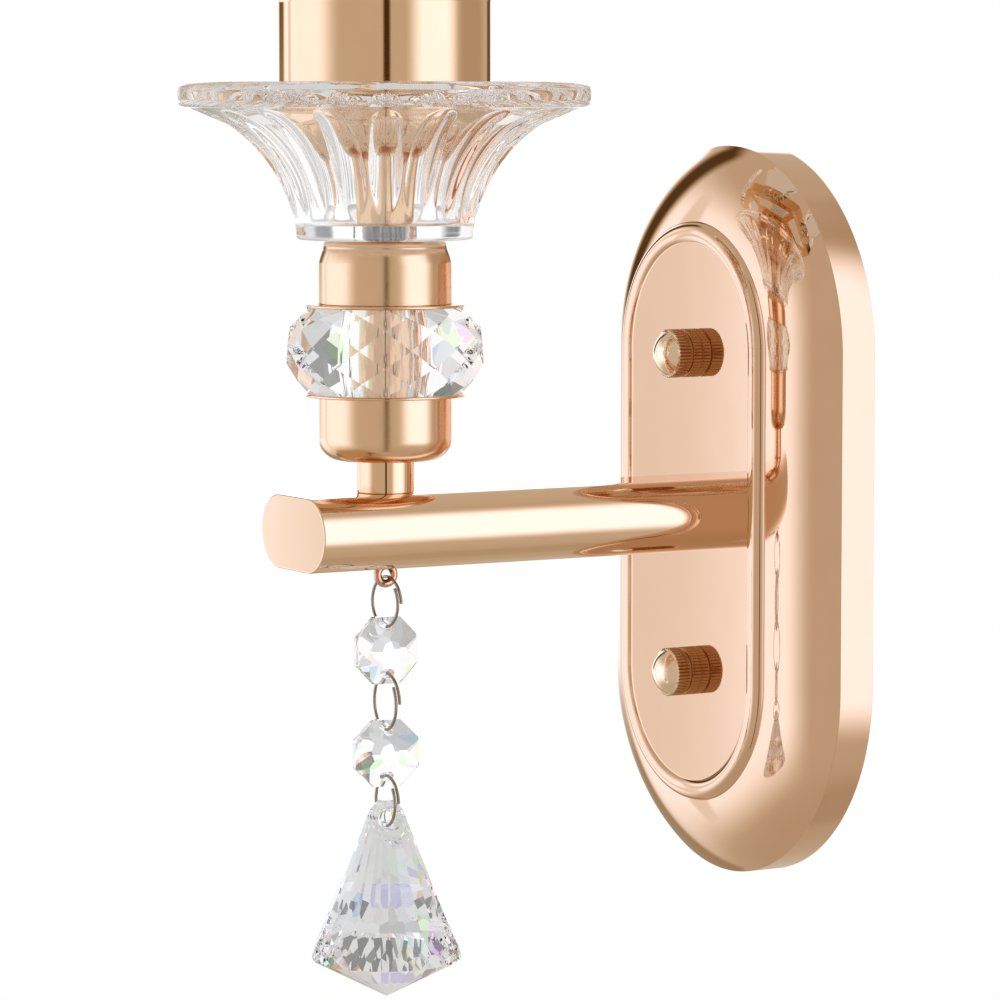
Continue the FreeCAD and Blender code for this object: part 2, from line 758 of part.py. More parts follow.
def make_lampholder():
    """Holder screwed on the rod's end: body, threaded shell, centre contact and sleeve."""
    seat = d.lamp_cup_floor + d.cup_wall
    skirt = seat + d.holder_skirt_h
    rod_top = d.lamp_cup_floor + d.rod_in_holder
    floor = d.holder_bore_low
    holder = new_body("lampholder_body", ON_HEAD)
    turned(holder, [
        (d.rod_r, seat), (d.lamp_cup_floor_r, seat), (d.lamp_cup_floor_r, seat + d.holder_foot_h),
        (d.holder_r, skirt), (d.holder_r, d.holder_top), (d.holder_bore_r, d.holder_top),
        (d.holder_bore_r, floor), (0, floor), (0, rod_top), (d.rod_r, rod_top)])
    make_sleeve("lampholder_shell", d.shell_r, d.holder_bore_r, d.shell_low, d.shell_top)
    contact = new_body("lampholder_contact", ON_HEAD)
    top = floor + d.contact_h
    turned(contact, [
        (0, floor), (d.contact_r, floor), (d.contact_r, floor + d.contact_t),
        (d.contact_tip_r, top - d.contact_t), (0, top)])
    make_sleeve("candle_sleeve", d.holder_r, d.candle_r, skirt, d.candle_top)


# ---------------------------------------------------------------- shade

def make_frame():
    """Six-sided ring whose sides lean outward, with a spoked plate across its foot."""
    seat = d.lamp_cup_top
    body = new_body("shade_frame", (0, -d.head_y, seat))
    tilt = math.radians(float(d.petal_tilt))
    spread = d.frame_h * math.tan(tilt)
    slant = d.frame_t / math.cos(tilt)
    for kind, inset in (("AdditiveLoft", 0.0), ("SubtractiveLoft", slant)):
        low = new_sketch(body, "XY_Plane")
        outline(low, regular(6, d.frame_apothem - inset))
        high = new_sketch(body, "XY_Plane", lifted(d.frame_h))
        outline(high, regular(6, d.frame_apothem + (spread - inset)))
        loft = body.newObject(f"PartDesign::{kind}", f"shade_frame_{kind}")
        loft.Profile = low
        loft.Sections = [high]
        loft.Ruled = True
        body.Tip = loft
    web = new_sketch(body, "XY_Plane")
    outline(web, regular(6, d.frame_apothem - d.frame_plate_in))
    circle_in(web, 0, 0, d.frame_bore_r)
    padded(body, web, d.frame_plate_t)
    cut_windows(body, d.frame_apothem - (slant + d.frame_edge))
    drill_screw_holes(body)


def cut_windows(body, far):
    """One window between two spokes, then the same all round."""
    near = d.frame_ring_r
    slope = math.tan(math.radians(30))
    half_near = near * slope - d.frame_rib
    half_far = far * slope - d.frame_rib
    window = new_sketch(body, "XY_Plane")
    outline(window, [(-half_near, -near), (-half_far, -far), (half_far, -far), (half_near, -near)])
    patterned(body, drilled(body, window), d.petals)


def drill_screw_holes(body):
    """Holes square to the leaning sides."""
    tilt = math.radians(float(d.petal_tilt))
    middle = (0, d.screw_up * -math.sin(tilt) - d.frame_apothem, d.screw_up * math.cos(tilt))
    turn = Rotation(Vector(1, 0, 0), 90 + float(d.petal_tilt))
    hole = new_sketch(body, "XY_Plane", middle, turn)
    circle_in(hole, 0, 0, d.screw_r + d.screw_gap)
    bore = body.newObject("PartDesign::Pocket", "shade_frame_bore")
    bore.Profile = hole
    bore.setExpression("Length", (d.frame_t * 4).formula)
    bore.Midplane = True
    body.Tip = bore
    patterned(body, bore, d.petals)


def petal_place(index):
    """Where petal number index stands: its inner face lies on one side of the frame."""
    head = Placement(Vector(*(float(v) for v in ON_HEAD)), Rotation())
    turn = Placement(Vector(), Rotation(Vector(0, 0, 1), 360 * index / float(d.petals)))
    foot = Placement(Vector(0, -float(d.frame_apothem), float(d.lamp_cup_top)),
                     Rotation(Vector(1, 0, 0), float(d.petal_tilt)))
    return head.multiply(turn).multiply(foot)


def make_petals():
    for index in range(round(float(d.petals))):
        place = petal_place(index)
        make_petal(f"petal_{index + 1}", place)
        make_petal_screw(f"petal_screw_{index + 1}", place)


def make_petal(label, place):
    """Flat glass slab against the frame, its outer edge bevelled all round."""
    petal = new_body(label, place.Base, place.Rotation)
    sketch = new_sketch(petal, "XZ_Plane")
    right = [(d.petal_foot, 0), (d.petal_neck_half_w, d.petal_neck_h),
             (d.petal_half_w, d.petal_wide_h), (d.petal_crown_half_w, d.petal_crown_h)]
    left = [(-x, z) for x, z in right[::-1]]
    outline(sketch, right + [(0, d.petal_h)] + left)
    circle_in(sketch, 0, d.screw_up, d.screw_r + d.screw_gap)
    slab = padded(petal, sketch, d.petal_t)
    doc.recompute()
    rim = [name for name in edges_at(slab, "y", -d.petal_t)
           if len(slab.Shape.getElement(name).Vertexes) == 2]
    bevel = petal.newObject("PartDesign::Chamfer", "petal_bevel")
    bevel.Base = (slab, rim)
    bevel.setExpression("Size", "sheet.petal_bevel")
    petal.Tip = bevel


def make_petal_screw(label, place):
    """Round-headed screw from outside, with its nut inside the frame."""
    place = place.multiply(Placement(Vector(0, 0, float(d.screw_up)), AWAY_FROM_WALL))
    screw = new_body(label, place.Base, place.Rotation)
    head, head_low = d.screw_head_r, d.petal_t
    dome_low = head_low + d.screw_head_edge
    nut_top = -d.frame_t
    nut_low = nut_top - d.screw_nut_h
    end = nut_low - d.screw_tail
    turned(screw, [
        (0, end), (d.screw_r, end), (d.screw_r, nut_low), (d.screw_nut_r, nut_low),
        (d.screw_nut_r, nut_top), (d.screw_r, nut_top), (d.screw_r, head_low), (head, head_low),
        (head, dome_low, dome_arc(head, d.screw_head_h - d.screw_head_edge)),
        (0, head_low + d.screw_head_h)])


# ---------------------------------------------------------------- cut crystals

def cut_polygon(polygon, planes):
    """What is left of a flat polygon inside the half-spaces."""
    for normal, reach in planes:
        kept = []
        for here, there in zip(polygon, polygon[1:] + polygon[:1]):
            height, after = normal.dot(here) - reach, normal.dot(there) - reach
            if height <= 1e-9:
                kept.append(here)
            if min(height, after) < -1e-9 and max(height, after) > 1e-9:
                kept.append(here + (there - here) * (height / (height - after)))
        polygon = kept
        if len(polygon) < 3:
            return []
    return polygon


def cut_stone(planes):
    """Solid left by half-spaces, each given as (outward normal, distance from the centre)."""
    known = []

    def shared(point):
        for other in known:
            if (other - point).Length < 1e-6:
                return other
        known.append(point)
        return point

    faces = []
    far = 99
    for plane in planes:
        normal, distance = plane
        across = Vector(0, 0, 1) if abs(normal.z) < 0.9 else Vector(1, 0, 0)
        side = normal.cross(across).normalize()
        up = normal.cross(side)
        square = [normal * distance + side * a + up * b
                  for a, b in ((-far, -far), (far, -far), (far, far), (-far, far))]
        corners = []
        for point in cut_polygon(square, [other for other in planes if other is not plane]):
            point = shared(point)
            if point not in corners:
                corners.append(point)
        if len(corners) > 2:
            faces.append(Part.Face(Part.makePolygon(corners + corners[:1])))
    return sewn(faces)


def sewn(faces):
    shell = Part.Shell(faces)
    shell.sewShape()
    return Part.Solid(shell)


def tier(count, phase, low, high):
    """Ring of facets through two (radius, height) points of the stone's outline."""
    rise = high[1] - low[1]
    run = high[0] - low[0]
    length = math.hypot(rise, run)
    out, up = rise / length, -run / length
    facets = []
    for k in range(count):
        angle = 2 * math.pi * (k + phase) / count
        normal = Vector(out * math.cos(angle), out * math.sin(angle), up)
        facets.append((normal, out * low[0] + up * low[1]))
    return facets


def stone_feature(label, shape, at, turn):
    feature = doc.addObject("Part::Feature", label)
    feature.Label = label
    feature.Shape = shape
    put(feature, "Placement", at, turn)
    parts.append(feature)


def bead_radii(heights):
    """Radius of each row of corners, so that every diamond facet is flat."""
    shrink = math.cos(math.pi / float(d.bead_sides))
    widest = 3
    radii = {widest: float(d.bead_r), widest - 1: float(d.bead_upper_r)}
    last = len(heights) - 1
    downward = [(row, -1) for row in range(widest + 1, last + 1)]
    upward = [(row, 1) for row in range(widest - 2, -1, -1)]
    for row, back in downward + upward:
        near, far = row + back, row + 2 * back
        share = (heights[row] - heights[far]) / (heights[near] - heights[far])
        radii[row] = radii[far] + (radii[near] * shrink - radii[far]) * share
    return radii


def make_bead():
    """Crystal bead: a lattice of diamond facets round a straight bore."""
    sides = round(float(d.bead_sides))
    height = float(d.bead_h)
    heights = [share * height for share in BEAD_ROWS]
    radii = bead_radii(heights)
    step = 2 * math.pi / sides

    def corner(row, k):
        angle = step * (k + 0.5 * (row % 2))
        return Vector(radii[row] * math.cos(angle), radii[row] * math.sin(angle), heights[row])

    last = len(heights) - 1
    loops = [[corner(row, k) for k in range(sides)] for row in (0, last)]
    for k in range(sides):
        for top in range(last - 1):
            left = k if top % 2 == 1 else k - 1
            loops.append([corner(top, k), corner(top + 1, left), corner(top + 2, k),
                          corner(top + 1, left + 1)])
        for edge, inner in ((0, 1), (last, last - 1)):
            loops.append([corner(edge, k), corner(edge, k + 1), corner(inner, k)])
    faces = [Part.Face(Part.makePolygon(loop + loop[:1])) for loop in loops]
    bore = Part.makeCylinder(float(d.bead_bore_r), height * 2, Vector(0, 0, -height / 2))
    at = (0, -d.head_y, d.lower_cup_top + d.washer_t)
    stone_feature("crystal_bead", sewn(faces).cut(bore), at, Rotation(Vector(0, 0, 1), BEAD_TURN))


def octagon_shape():
    """Two-hole octagon: eight edge flats, eight big and eight small facets a side, a small table."""
    half, thick, edge = float(d.oct_half), float(d.oct_half_t), float(d.oct_edge_t)
    kite = float(d.oct_kite)
    middle = (half * kite, edge + (thick - edge) * kite)
    star = (float(d.oct_star_r), float(d.oct_star_t))
    table = (float(d.oct_table), thick)
    planes = tier(8, 0.0, (half, -edge), (half, edge))
    for side in (1, -1):
        planes.append((Vector(0, 0, side), thick))
        facets = tier(8, 0.0, (half, edge), middle) + tier(8, 0.5, star, table)
        for normal, distance in facets:
            planes.append((Vector(normal.x, normal.y, side * normal.z), distance))
    stone = cut_stone(planes)
    for side in (1, -1):
        low = Vector(0, side * float(d.oct_hole), -2 * thick)
        stone = stone.cut(Part.makeCylinder(float(d.hole_r), 4 * thick, low))
    return stone


def prism_stone():
    """The cone-topped drop before its top is hollowed and drilled, from its top down."""
    sides = round(float(d.prism_sides))
    top = (float(d.prism_top_r), float(d.prism_top))
    crown = (float(d.prism_crown_r), float(d.prism_crown))
    shoulder = (float(d.prism_shoulder_r), float(d.prism_shoulder))
    girdle = (float(d.prism_girdle_r), float(d.prism_girdle))
    bulge = (girdle[0] - shoulder[0]) / 5
    middle = ((shoulder[0] + girdle[0]) / 2 + bulge, (shoulder[1] + girdle[1]) / 2)
    planes = [(Vector(0, 0, 1), top[1])]
    planes += tier(sides, 0.0, crown, top)
    planes += tier(sides, 0.0, shoulder, crown)
    planes += tier(sides, 0.5, middle, shoulder)
    planes += tier(sides, 0.0, girdle, middle)
    planes += tier(sides, 0.0, (0.0, float(d.prism_tip)), girdle)
    return cut_stone(planes)


def prism_shape():
    """Drop with a round hollow in each side of its top, and a hole, at the origin, between them."""
    stone = prism_stone()
    half, hollow = float(d.prism_tab_half), float(d.prism_hollow_r)
    for side in (1, -1):
        centre = Vector(side * (half + hollow), 0, float(d.prism_hollow))
        stone = stone.cut(Part.makeSphere(hollow, centre))
    hole = Part.makeCylinder(float(d.hole_r), 4 * half, Vector(-2 * half, 0, 0), Vector(1, 0, 0))
    return stone.cut(hole)


# ---------------------------------------------------------------- pendants

def make_eye():
    """Loop under the arm. Its own Z runs through the eye and its Y up into the arm."""
    body = new_body("pendant_eye", (0, -d.head_y, d.eye_z), Rotation(Vector(1, 1, 1), 120))
    bar = new_sketch(body, "XZ_Plane")
    circle_in(bar, d.eye_r, 0, d.eye_bar_r)
    loop = body.newObject("PartDesign::Revolution", "pendant_eye_loop")
    loop.Profile = bar
    loop.ReferenceAxis = (bar, ["V_Axis"])
    loop.Angle = 360
    body.Tip = loop
    # the loop is dressed flat where it meets the arm
    seat = -d.arm_half_h - d.eye_z
    reach = d.eye_r + d.eye_bar_r
    flat = new_sketch(body, "XY_Plane")
    outline(flat, rectangle(-reach * 2, reach * 2, seat, seat + reach * 2))
    drilled(body, flat)
    shank = new_sketch(body, "XZ_Plane", lifted(d.eye_overlap - seat))
    circle_in(shank, 0, 0, d.eye_shank_r)
    padded(body, shank, d.eye_overlap + d.arm_wall + d.eye_shank_up, back=True)


def make_ring(label, radius, wire_z, turn):
    """Bent wire ring, a little over one turn; its two ends lie side by side."""
    stand = Rotation(Vector(0, 0, 1), turn).multiply(Rotation(Vector(1, 0, 0), 90))
    body = new_body(label, (0, -d.head_y, wire_z - radius), stand)
    sketch = new_sketch(body, "XZ_Plane")
    start = d.wire_pitch * d.wire_turns / -2
    circle_in(sketch, radius, start, d.wire_r)
    coil = body.newObject("PartDesign::AdditiveHelix", f"{label}_coil")
    coil.Profile = sketch
    coil.ReferenceAxis = (sketch, ["V_Axis"])
    coil.Mode = 1
    coil.setExpression("Pitch", "sheet.wire_pitch")
    coil.setExpression("Turns", "sheet.wire_turns")
    body.Tip = coil


def make_octagon(label, top_hole_z, turn):
    """Octagon hung by its upper hole, its flats at the top, the bottom and the sides."""
    face_x = Rotation(Vector(1, 1, 1), 120)
    at = (0, -d.head_y, top_hole_z - d.oct_hole)
    stone_feature(label, octagon_shape(), at, Rotation(Vector(0, 0, 1), turn).multiply(face_x))


def make_string():
    """Rings and crystals hung one in the other, from the eye down."""
    wire_z = d.eye_z - d.link_drop
    radii = (d.ring_r, d.long_ring_r, d.ring_r)
    for number, (radius, turn) in enumerate(zip(radii, RING_TURNS), start=1):
        make_ring(f"ring_{number}", radius, wire_z, turn)
        hole_z = wire_z - radius * 2 - d.hang
        if number <= len(OCTAGON_TURNS):
            make_octagon(f"octagon_{number}", hole_z, OCTAGON_TURNS[number - 1])
            wire_z = hole_z - d.oct_hole * 2 - d.hang
    at = (0, -d.head_y, hole_z)
    stone_feature("prism", prism_shape(), at, Rotation(Vector(0, 0, 1), PRISM_TURN))


make_plate()
make_bracket()
make_studs()
make_arm()
make_arm_fixing()
make_terminal_block()
make_stack()
make_bead()
make_dish()
make_sleeve("neck_tube", d.rod_r, d.sleeve_r, d.dish_floor, d.lamp_cup_floor)
make_lamp_cup()
make_lampholder()
make_frame()
make_petals()
make_eye()
make_string()
doc.recompute()

broken = [o.Name for o in doc.Objects if "Invalid" in o.State or "Error" in o.State]
if broken:
    raise RuntimeError(f"these did not build: {broken}")
os.makedirs("parts", exist_ok=True)
for piece in parts:
    shape = piece.Shape
    if shape.isNull() or not shape.isValid() or len(shape.Solids) != 1:
        raise RuntimeError(f"{piece.Label} is not one good solid")
    shape.exportStep(f"parts/{piece.Label}.step")
    box = shape.optimalBoundingBox()
    print(f"{piece.Label:20s} x {box.XMin:8.2f} {box.XMax:8.2f}  y {box.YMin:8.2f} {box.YMax:8.2f}"
          f"  z {box.ZMin:8.2f} {box.ZMax:8.2f}  vol {shape.Volume:9.1f}")
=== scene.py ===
"""Looks of the crystal wall sconce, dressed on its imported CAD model.

World frame in metres: the wall is the plane Y = 0, the room is on the -Y side, +Z is up.
"""

import json
import math

import bpy
from mathutils import Matrix, Vector


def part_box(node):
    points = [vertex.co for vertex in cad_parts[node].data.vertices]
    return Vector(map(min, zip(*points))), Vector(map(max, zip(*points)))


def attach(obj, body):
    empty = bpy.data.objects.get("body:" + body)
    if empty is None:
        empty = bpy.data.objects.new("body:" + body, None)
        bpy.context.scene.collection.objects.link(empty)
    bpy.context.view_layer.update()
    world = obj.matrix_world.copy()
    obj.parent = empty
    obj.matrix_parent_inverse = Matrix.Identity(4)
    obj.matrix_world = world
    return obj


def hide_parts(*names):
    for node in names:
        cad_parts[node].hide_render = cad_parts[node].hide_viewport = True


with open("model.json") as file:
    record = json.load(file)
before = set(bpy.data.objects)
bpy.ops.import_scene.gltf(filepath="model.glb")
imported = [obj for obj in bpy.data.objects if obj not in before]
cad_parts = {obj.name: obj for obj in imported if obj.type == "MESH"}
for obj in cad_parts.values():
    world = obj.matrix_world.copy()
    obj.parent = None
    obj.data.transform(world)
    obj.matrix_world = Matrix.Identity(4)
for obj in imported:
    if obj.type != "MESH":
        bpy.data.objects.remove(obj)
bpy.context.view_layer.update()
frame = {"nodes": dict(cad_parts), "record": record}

MM = 0.001


# ---------------------------------------------------------------- places read from the frame

def middle(node):
    low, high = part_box(node)
    return (low + high) / 2


def bottom(node):
    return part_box(node)[0].z


def top(node):
    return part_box(node)[1].z


def radius_of(node):
    """Radius of an upright or a level turned node, from its width."""
    low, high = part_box(node)
    return (high.x - low.x) / 2


HEAD = middle("stem")


# ---------------------------------------------------------------- camera

CAMERA_AT = Vector((0.8579, -0.5638, 0.0939))
CAMERA_TURN = 1.475     # degrees to the right of the head's axis
CAMERA_PITCH = 5.129    # degrees downward
CAMERA_LENS = 160.79


def make_camera():
    data = bpy.data.cameras.new("camera")
    data.lens = CAMERA_LENS
    data.sensor_width = 36
    data.clip_start = 0.05
    data.clip_end = 50
    camera = bpy.data.objects.new("camera", data)
    bpy.context.scene.collection.objects.link(camera)
    camera.location = CAMERA_AT
    heading = math.atan2(HEAD.y - CAMERA_AT.y, HEAD.x - CAMERA_AT.x) - math.radians(CAMERA_TURN)
    pitch = math.radians(CAMERA_PITCH)
    look = Vector((math.cos(heading) * math.cos(pitch), math.sin(heading) * math.cos(pitch),
                   -math.sin(pitch)))
    camera.rotation_euler = look.to_track_quat("-Z", "Y").to_euler()
    bpy.context.scene.camera = camera


# ---------------------------------------------------------------- material helpers

# A Mix node keeps numbers and colours in sockets of their own.
NUMBER_A, NUMBER_B, NUMBER_RESULT = 2, 3, 0
COLOUR_A, COLOUR_B, COLOUR_RESULT = 6, 7, 2
# Nearly all values of a noise texture lie between these.
NOISE_LOW, NOISE_HIGH = 0.3, 0.7


class Nodes:
    """A node tree with its links made as the nodes are added."""

    def __init__(self, tree):
        self.tree = tree
        self.tree.nodes.clear()

    def add(self, kind, inputs=None, **settings):
        """Add a node. An input given as a socket is linked, and any other is set."""
        node = self.tree.nodes.new(kind)
        for name, value in settings.items():
            setattr(node, name, value)
        for name, value in (inputs or {}).items():
            if isinstance(value, bpy.types.NodeSocket):
                self.tree.links.new(value, node.inputs[name])
            else:
                node.inputs[name].default_value = value
        return node

    def noise(self, scale, detail):
        """Noise in the object's own metres; scale is about the number of cells to a metre."""
        place = self.add("ShaderNodeTexCoord").outputs["Object"]
        noise = self.add("ShaderNodeTexNoise", {
            "Vector": place, "Scale": scale, "Detail": detail})
        return noise.outputs["Fac"]

    def between(self, value, low, high):
        """Turn a noise value into a range of numbers."""
        spread = self.add("ShaderNodeMapRange", {
            "Value": value, "From Min": NOISE_LOW, "From Max": NOISE_HIGH,
            "To Min": low, "To Max": high})
        return spread.outputs["Result"]

    def blend(self, share, first, second):
        """Mix two colours, each a socket or four numbers."""
        mix = self.add("ShaderNodeMix", {
            "Factor": share, COLOUR_A: first, COLOUR_B: second}, data_type="RGBA")
        return mix.outputs[COLOUR_RESULT]

    def tints(self, value, first, second):
        """Mix two tints of three numbers each by a noise value."""
        return self.blend(value, (*first, 1), (*second, 1))

    def bump(self, height, distance, strength=1.0, under=None):
        """Relief of a height in metres, laid over the relief under it if there is one."""
        inputs = {"Height": height, "Distance": distance, "Strength": strength}
        if under:
            inputs["Normal"] = under
        return self.add("ShaderNodeBump", inputs).outputs["Normal"]

    def surface(self, inputs):
        """Finish a material with its shader."""
        shader = self.add("ShaderNodeBsdfPrincipled", inputs)
        self.add("ShaderNodeOutputMaterial", {"Surface": shader.outputs["BSDF"]})


MATERIALS = {}


def material(name):
    """Node tree of a new material, which MATERIALS holds under its name."""
    made = bpy.data.materials.new(name)
    made.use_nodes = True
    MATERIALS[name] = made
    return Nodes(made.node_tree)


def plated(name, tint, worn, smooth, wave):
    """Polished plating: slow waves of the pressed metal, faint polishing haze, tiny pits."""
    nodes = material(name)
    haze = nodes.noise(scale=90, detail=4)
    waves = nodes.bump(nodes.noise(scale=45, detail=1), distance=wave)
    pits = nodes.bump(nodes.noise(scale=2600, detail=2), distance=0.4e-6, strength=0.6,
                      under=waves)
    nodes.surface({
        "Base Color": nodes.tints(haze, tint, worn),
        "Metallic": 1.0,
        "Roughness": nodes.between(haze, smooth, smooth * 1.6),
        "Normal": pits})


PAINTED_SHADE_START, PAINTED_SHADE_FULL = -0.3 * MM, 0.2 * MM       # where the barrel's painted shade starts and where it is full, from the end of a nut's barrel


def knurled(name, bright, dark, barrel_end):
    """Plating with painted shade: the knurled barrel is painted brown for the shade between the
    knurls, and the dome keeps the plating's colour.
    """
    nodes = material(name)
    place = nodes.add("ShaderNodeTexCoord").outputs["Object"]
    depth = nodes.add("ShaderNodeSeparateXYZ", {"Vector": place}).outputs["Y"]
    # painted shade: the barrel's brown, mottled at random, stands for the shade between the knurls
    shaded_barrel = nodes.add("ShaderNodeMapRange", {
        "Value": depth, "From Min": barrel_end + PAINTED_SHADE_START, "From Max": barrel_end + PAINTED_SHADE_FULL})
    knurl_mottle = nodes.noise(scale=900, detail=4)
    painted_shade = nodes.tints(knurl_mottle, dark, tuple(value * 1.5 for value in dark))
    nodes.surface({
        "Base Color": nodes.blend(shaded_barrel.outputs["Result"], (*bright, 1), painted_shade),
        "Metallic": 1.0,
        "Roughness": nodes.between(knurl_mottle, 0.07, 0.16),
        "Normal": nodes.bump(nodes.noise(scale=1400, detail=3), distance=3e-6, strength=0.6)})


WAVE_REPEAT = math.pi / 10      # a wave texture of scale 1 has a band every so many metres
THREAD_DEPTH = 0.45             # of the thread's pitch


def steel(name, tint, dark, rough, pitch=0.0, axis="Y"):
    """Zinc or nickel plating, with a thread's ridges where a pitch is given."""
    nodes = material(name)
    patches = nodes.noise(scale=400, detail=3)
    normal = nodes.bump(nodes.noise(scale=1500, detail=2), distance=2e-6, strength=0.5)
    if pitch:
        place = nodes.add("ShaderNodeTexCoord").outputs["Object"]
        ridges = nodes.add("ShaderNodeTexWave", {
            "Vector": place, "Scale": WAVE_REPEAT / pitch, "Distortion": 0.0},
            wave_type="BANDS", bands_direction=axis, wave_profile="TRI")
        normal = nodes.bump(ridges.outputs["Fac"], distance=THREAD_DEPTH * pitch, under=normal)
    nodes.surface({
        "Base Color": nodes.tints(patches, tint, dark),
        "Metallic": 1.0,
        "Roughness": nodes.between(patches, rough, rough * 1.5),
        "Normal": normal})


def plastic(name, tint, shade, rough):
    """Moulded plastic with a faint flow mottle and a fine grain."""
    nodes = material(name)
    flow = nodes.noise(scale=120, detail=3)
    nodes.surface({
        "Base Color": nodes.tints(flow, tint, shade),
        "Roughness": nodes.between(flow, rough, rough * 1.4),
        "Normal": nodes.bump(nodes.noise(scale=3000, detail=2), distance=4e-6, strength=0.4)})


# Painted fire: rainbow glints of dispersion painted into the colour of a few crystal facets.
FIRE_RUN = 14.0                     # how fast the fire changes along a facet, per metre
FIRE_CELLS = 9.0                    # how finely the facets' directions are told apart
FIRE_START, FIRE_FULL = 0.90, 0.95  # a cell's random number at which it has some fire, and all


def painted_fire(nodes, clear, strength):
    """Painted dispersion glints: a clear colour that a few facets break into rainbow colours,
    which change along a long facet.
    """
    spot = nodes.add("ShaderNodeTexCoord").outputs
    facet = nodes.add("ShaderNodeVectorMath", {
        0: spot["Object"], 1: (FIRE_RUN, FIRE_RUN, FIRE_RUN), 2: spot["Normal"]},
        operation="MULTIPLY_ADD")
    cells = nodes.add("ShaderNodeTexVoronoi", {
        "Vector": facet.outputs["Vector"], "Scale": FIRE_CELLS})
    split = nodes.add("ShaderNodeSeparateColor", {"Color": cells.outputs["Color"]})
    hue = nodes.add("ShaderNodeCombineColor", {
        "Red": split.outputs["Green"], "Green": strength, "Blue": 1.0}, mode="HSV")
    few = nodes.add("ShaderNodeMapRange", {
        "Value": split.outputs["Red"], "From Min": FIRE_START, "From Max": FIRE_FULL})
    return nodes.blend(few.outputs["Result"], clear, hue.outputs["Color"])


def glass(name, tint, shade, index, wave, wave_scale=60, fire=0.0):
    """Clear glass: a breath of tint, the slow waves left by pressing or polishing, and painted
    rainbow glints where fire is given.
    """
    nodes = material(name)
    flow = nodes.noise(scale=wave_scale, detail=2)
    colour = nodes.tints(flow, tint, shade)
    # painted rainbow glints of dispersion
    if fire:
        colour = painted_fire(nodes, colour, fire)
    nodes.surface({
        "Base Color": colour,
        "Roughness": nodes.between(flow, 0.0, 0.012),
        "IOR": index,
        "Transmission Weight": 1.0,
        "Normal": nodes.bump(flow, distance=wave)})


# ---------------------------------------------------------------- materials of the slots

def make_golds():
    pink, pink_deep = (0.82, 0.57, 0.41), (0.79, 0.53, 0.37)
    pale, pale_deep = (0.88, 0.64, 0.47), (0.86, 0.61, 0.43)
    champagne, champagne_deep = (0.87, 0.62, 0.43), (0.83, 0.57, 0.37)
    plated("plate_gold", pink, pink_deep, smooth=0.030, wave=12e-6)
    plated("arm_gold", pale, pale_deep, smooth=0.035, wave=8e-6)
    plated("head_gold", champagne, champagne_deep, smooth=0.050, wave=4e-6)
    plated("cup_gold", champagne, champagne_deep, smooth=0.140, wave=4e-6)
    plated("eye_gold", (0.76, 0.46, 0.32), (0.66, 0.38, 0.25), smooth=0.08, wave=2e-6)
    plated("frame_gold", (0.83, 0.56, 0.30), (0.78, 0.50, 0.25), smooth=0.07, wave=6e-6)
    # dark is the painted shade of the knurled barrel, and bright is the dome's plating
    knurled("nut_gold", bright=(0.90, 0.70, 0.53), dark=(0.42, 0.23, 0.11),
            barrel_end=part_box("cap_nut_upper")[1].y - NUT_BARREL)


def make_steels():
    """Steel and brass, with the pitch of a thread and of the lampholder's screw shell."""
    steel("bracket_steel", (0.58, 0.60, 0.63), (0.48, 0.50, 0.54), rough=0.28)
    steel("thread_steel", (0.56, 0.56, 0.57), (0.42, 0.42, 0.44), rough=0.25, pitch=0.8 * MM)
    steel("wire_steel", (0.40, 0.35, 0.28), (0.28, 0.24, 0.18), rough=0.14)
    steel("contact_brass", (0.76, 0.56, 0.24), (0.66, 0.46, 0.18), rough=0.22,
          pitch=2.8 * MM, axis="Z")


def make_plastics():
    plastic("terminal_plastic", (0.84, 0.84, 0.81), (0.78, 0.78, 0.75), rough=0.45)
    plastic("holder_plastic", (0.84, 0.83, 0.78), (0.79, 0.78, 0.73), rough=0.30)
    plastic("candle_plastic", (0.88, 0.85, 0.78), (0.83, 0.80, 0.73), rough=0.25)


def make_glasses():
    clear, clear_deep = (1.0, 1.0, 1.0), (0.98, 0.99, 0.99)
    lead_crystal, soda_glass = 1.56, 1.50       # indices of refraction
    # the bead and the drop carry painted fire, rainbow glints in their colour
    glass("bead_crystal", clear, clear_deep, lead_crystal, wave=1e-6, fire=0.35)
    glass("drop_crystal", clear, (0.98, 0.98, 0.99), lead_crystal, wave=0.5e-6, fire=0.50)
    glass("dish_glass", clear, clear_deep, soda_glass, wave=5e-6)
    glass("petal_glass", (0.98, 1.0, 0.98), (0.95, 0.99, 0.96), soda_glass, wave=6e-6,
          wave_scale=40)


# ---------------------------------------------------------------- mesh helpers

def fillet(before, corner, after, radius, steps):
    """Points of the arc that rounds a corner of a flat outline."""
    corner = Vector(corner)
    to_before = (Vector(before) - corner).normalized()
    to_after = (Vector(after) - corner).normalized()
    half = to_before.angle(to_after) / 2
    centre = corner + (to_before + to_after).normalized() * (radius / math.sin(half))
    start = corner + to_before * (radius / math.tan(half)) - centre
    end = corner + to_after * (radius / math.tan(half)) - centre
    sweep = start.angle_signed(end)
    points = []
    for step in range(steps + 1):
        turn = Matrix.Rotation(-sweep * step / steps, 2)
        points.append(tuple(centre + turn @ start))
    return points


def rounded(corners, steps=6):
    """Closed outline through (x, y) corners; a third number rounds that corner."""
    points = []
    for index, corner in enumerate(corners):
        if len(corner) == 2:
            points.append(corner)
            continue
        before, after = corners[index - 1], corners[(index + 1) % len(corners)]
        points += fillet(before[:2], corner[:2], after[:2], corner[2], steps)
    return points


def arc_through(start, end, radius, steps):
    """Points after start and before end on the arc between them, bending left if radius > 0."""
    start, end = Vector(start), Vector(end)
    along = end - start
    left = Vector((-along.y, along.x)).normalized()
    rise = math.sqrt(radius ** 2 - (along.length / 2) ** 2)
    centre = (start + end) / 2 + left * math.copysign(rise, radius)
    sweep = (start - centre).angle_signed(end - centre)
    return [tuple(centre + Matrix.Rotation(-sweep * k / steps, 2) @ (start - centre))
            for k in range(1, steps)]


